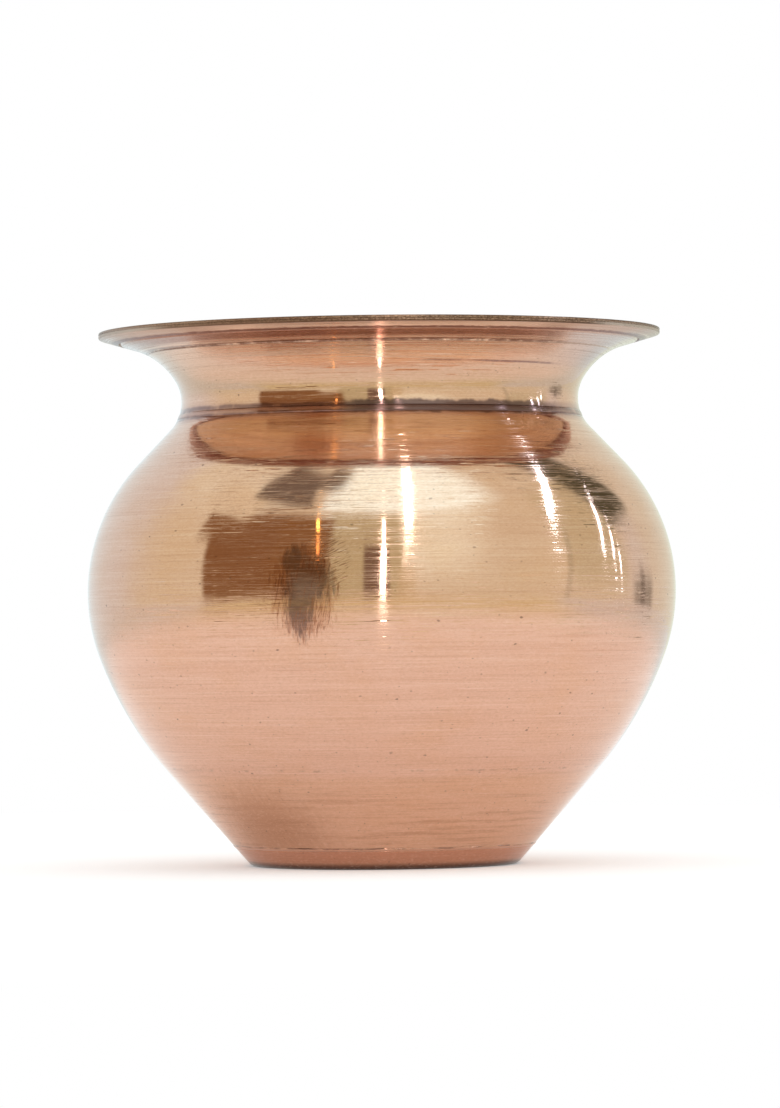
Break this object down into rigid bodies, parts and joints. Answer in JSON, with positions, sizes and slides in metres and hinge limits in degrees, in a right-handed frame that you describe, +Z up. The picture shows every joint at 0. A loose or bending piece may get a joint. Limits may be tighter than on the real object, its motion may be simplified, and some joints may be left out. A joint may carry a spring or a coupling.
{
  "type": "lota",
  "caption": "Round-bellied copper water pot with a cinched neck, a wide flared rim and a flat foot, assembled from brazed sheet pieces.",
  "frame": {"origin": "on the upright axis, at the height of the surface that the foot stands on", "axes": "+Z up along the axis of revolution; the pot is round, so +X and +Y are alike"},
  "size_m": [0.1044, 0.1044, 0.0948],
  "materials": {
    "copper_body": "polished copper with fine turning lines",
    "copper_collar": "polished copper with fine turning lines",
    "copper_foot": "polished copper, browner and duller",
    "copper_rim": "satin copper with a rough, darkened cut edge",
    "braze": "dull grey-violet filler metal"
  },
  "bodies": {
    "root": {"base_dish": "copper_foot", "foot_braze": "braze", "body_shell": "copper_body", "neck_braze": "braze", "neck_collar": "copper_collar", "rim_ring": "copper_rim"}
  },
  "joints": []
}
